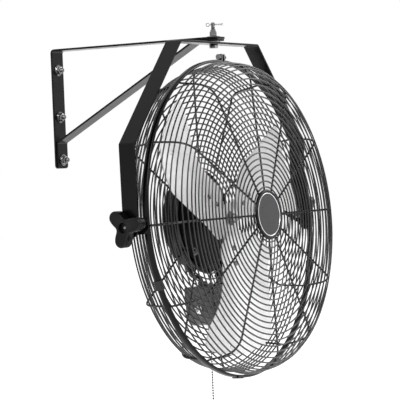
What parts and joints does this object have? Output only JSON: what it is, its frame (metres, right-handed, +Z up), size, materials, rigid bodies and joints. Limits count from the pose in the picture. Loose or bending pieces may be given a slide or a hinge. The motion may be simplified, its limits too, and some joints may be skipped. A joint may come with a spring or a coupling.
{
  "type": "wall mounted fan",
  "caption": "Wall fan: flat-bar bracket with a brace, swivelling yoke, tilting wire cage, cambered blades, capped motor, switch box and pull chain.",
  "frame": {"origin": "centre of the middle wall screw on the back face of the wall strap, where it meets the wall", "axes": "+Y points into the wall, +Z is up, and the fan faces -Y"},
  "size_m": [0.5946, 0.478, 0.7132],
  "materials": {
    "black_enamel": "gloss black enamel on steel",
    "zinc": "bright zinc plate",
    "fibre": "hard red-brown fibre",
    "spring_steel": "bare spring steel",
    "grille_wire": "gloss black enamel on wire",
    "badge": "satin grey metal",
    "motor_enamel": "satin black enamel",
    "bearing_steel": "ground steel",
    "lamination": "stacked steel sheets",
    "copper": "varnished copper wire",
    "hub_casting": "die cast",
    "spider_metal": "satin pressed aluminium",
    "blade_metal": "satin aluminium sheet",
    "knob_plastic": "moulded black, slightly glossy",
    "brass_insert": "bare brass",
    "box_plastic": "moulded black",
    "switch_body": "moulded cream",
    "chrome_trim": "bright plated",
    "capacitor_case": "moulded white",
    "terminal_plastic": "moulded grey",
    "lead_sheath": "black sheathed lead",
    "gland_plastic": "moulded black",
    "chain_metal": "nickel plated brass"
  },
  "bodies": {
    "wall_bracket": {"wall_strap": "black_enamel", "diagonal_brace": "black_enamel", "wall_washers": "zinc", "wall_screws": "zinc", "pivot_washers": "zinc", "pivot_bolt": "zinc", "pivot_nut": "zinc", "split_pin": "zinc"},
    "yoke": {"yoke": "black_enamel", "fibre_washers": "fibre", "knob_washers": "zinc"},
    "rotor": {"shaft": "bearing_steel", "rotor_core": "lamination", "blade_hub": "hub_casting", "blade_spider": "spider_metal", "blade_1": "blade_metal", "blade_2": "blade_metal", "blade_3": "blade_metal", "blade_screws": "zinc", "rotor_nut": "zinc"},
    "knob_left": {"knob_left": "knob_plastic", "knob_insert_left": "brass_insert"},
    "knob_right": {"knob_right": "knob_plastic", "knob_insert_right": "brass_insert"},
    "pull_chain": {"pull_chain": "chain_metal", "chain_bell": "chain_metal"},
    "head": {"bearings": "bearing_steel", "box_bracket": "black_enamel", "box_cover": "box_plastic", "box_screws": "zinc", "bracket_screws": "zinc", "capacitor": "capacitor_case", "centre_badge": "badge", "clamp_nut": "zinc", "clamp_ring": "black_enamel", "clamp_screw": "zinc", "cord_gland": "chrome_trim", "ear_rivets": "zinc", "front_grille": "grille_wire", "front_hoops": "grille_wire", "lead_glands": "gland_plastic", "motor_front_cover": "motor_enamel", "motor_lead": "lead_sheath", "motor_plate": "black_enamel", "motor_rear_cover": "motor_enamel", "motor_screws": "zinc", "pull_switch": "switch_body", "rear_grille": "grille_wire", "rear_hoops": "grille_wire", "ring_clips": "spring_steel", "ring_lugs": "black_enamel", "stator_core": "lamination", "stator_windings": "copper", "switch_box": "box_plastic", "switch_nut": "chrome_trim", "terminal_block": "terminal_plastic", "tilt_ears": "black_enamel", "tilt_studs": "zinc"}
  },
  "joints": [
    {"name": "swivel", "type": "hinge", "parent": "wall_bracket", "child": "yoke", "pos_m": [0, -0.328, 0], "axis": [0, 0, 1], "range_deg": [-40, 40]},
    {"name": "tilt", "type": "hinge", "parent": "yoke", "child": "head", "pos_m": [0, -0.328, -0.188], "axis": [1, 0, 0], "range_deg": [-20, 35]},
    {"name": "spin", "type": "hinge", "parent": "head", "child": "rotor", "pos_m": [0, -0.328, -0.188], "axis": [0, -0.9976, 0.0698], "continuous": true},
    {"name": "left_knob_turn", "type": "hinge", "parent": "head", "child": "knob_left", "pos_m": [0, -0.328, -0.188], "axis": [-1, 0, 0], "range_deg": [0, 360]},
    {"name": "right_knob_turn", "type": "hinge", "parent": "head", "child": "knob_right", "pos_m": [0, -0.328, -0.188], "axis": [1, 0, 0], "range_deg": [0, 360]},
    {"name": "chain_pull", "type": "slide", "parent": "head", "child": "pull_chain", "axis": [0, 0, -1], "range_m": [0, 0.012], "stiffness_N_per_m": 400}
  ]
}
